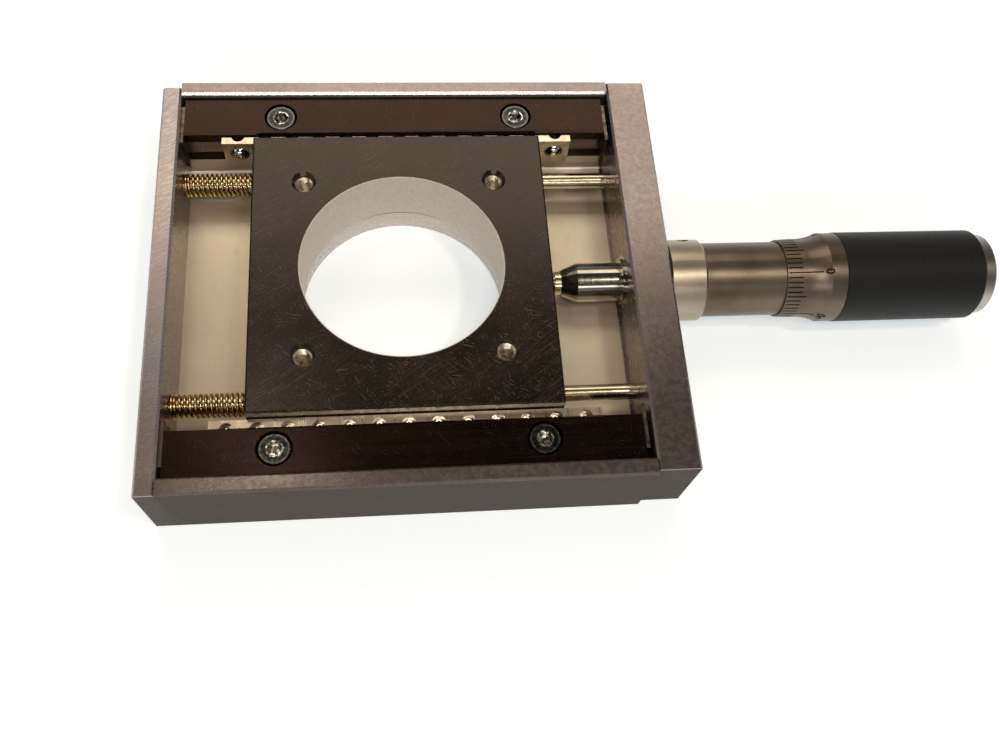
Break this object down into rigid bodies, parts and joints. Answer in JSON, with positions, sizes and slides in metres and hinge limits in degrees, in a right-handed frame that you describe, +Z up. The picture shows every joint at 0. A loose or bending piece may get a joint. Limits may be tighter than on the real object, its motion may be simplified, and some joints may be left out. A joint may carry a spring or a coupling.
{
  "type": "micrometer linear translation stage",
  "caption": "Low ball-guided linear stage with a black carriage, round clear aperture, twin guide rods with return springs and a micrometer drive.",
  "frame": {"origin": "on the aperture axis at the base's bottom face", "axes": "+X along the travel towards the micrometer, +Y to the back wall, +Z up out of the carriage top"},
  "size_m": [0.1584, 0.0828, 0.0185],
  "materials": {
    "anodised_body": "bead-blasted clear anodised",
    "black_anodise": "black anodised, lightly scratched",
    "rail_steel": "ground hardened steel, dark",
    "screw_steel": "oiled alloy steel",
    "stop_steel": "thin ground sheet",
    "cage_brass": "pale sheet, satin",
    "ball_steel": "polished hardened steel",
    "polished_steel": "ground and polished",
    "spring_wire": "golden spring wire",
    "satin_chrome": "satin chrome",
    "nut_brass": "machined",
    "black_grip": "matte black, fine grain"
  },
  "bodies": {
    "base": {"base_body": "anodised_body", "left_end_plate": "anodised_body", "right_end_plate": "anodised_body", "left_plate_screws": "screw_steel", "right_plate_screws": "screw_steel", "back_rail": "rail_steel", "back_rail_screws": "screw_steel", "back_rail_end_stops": "stop_steel", "back_guide_rod": "polished_steel", "back_return_spring": "spring_wire", "front_rail": "rail_steel", "front_rail_screws": "screw_steel", "front_rail_end_stops": "stop_steel", "front_guide_rod": "polished_steel", "front_return_spring": "spring_wire", "barrel": "polished_steel", "collar": "satin_chrome", "collar_set_screw": "screw_steel", "sleeve": "satin_chrome", "adjusting_nut": "nut_brass"},
    "carriage": {"carriage": "black_anodise", "carriage_plug": "screw_steel", "anvil_button": "polished_steel"},
    "back_cage_row": {"back_cage": "cage_brass", "back_balls": "ball_steel"},
    "front_cage_row": {"front_cage": "cage_brass", "front_balls": "ball_steel"},
    "spindle_tip": {"ball_tip": "polished_steel"},
    "thimble": {"spindle": "polished_steel", "thimble": "satin_chrome", "grip": "black_grip", "end_cap": "satin_chrome", "thimble_screw": "screw_steel"}
  },
  "joints": [
    {"name": "spindle_feed", "type": "slide", "parent": "base", "child": "spindle_tip", "axis": [1, 0, 0], "range_m": [-0.0125, 0.0125]},
    {"name": "thimble_turn", "type": "hinge", "parent": "spindle_tip", "child": "thimble", "pos_m": [0.07, 0, 0.0096], "axis": [1, 0, 0], "range_deg": [-9001, 9001]},
    {"name": "carriage_travel", "type": "slide", "parent": "base", "child": "carriage", "axis": [1, 0, 0], "range_m": [-0.0125, 0.0125], "deforming": ["back_return_spring", "front_return_spring"]},
    {"name": "back_cage_travel", "type": "slide", "parent": "base", "child": "back_cage_row", "axis": [1, 0, 0], "range_m": [-0.00625, 0.00625]},
    {"name": "front_cage_travel", "type": "slide", "parent": "base", "child": "front_cage_row", "axis": [1, 0, 0], "range_m": [-0.00625, 0.00625]}
  ],
  "couplings": [
    {"joint": "spindle_feed", "follows": "carriage_travel", "ratio": 1},
    {"joint": "thimble_turn", "follows": "carriage_travel", "rad_per_m": 12566},
    {"joint": "back_cage_travel", "follows": "carriage_travel", "ratio": 0.5},
    {"joint": "front_cage_travel", "follows": "carriage_travel", "ratio": 0.5}
  ]
}
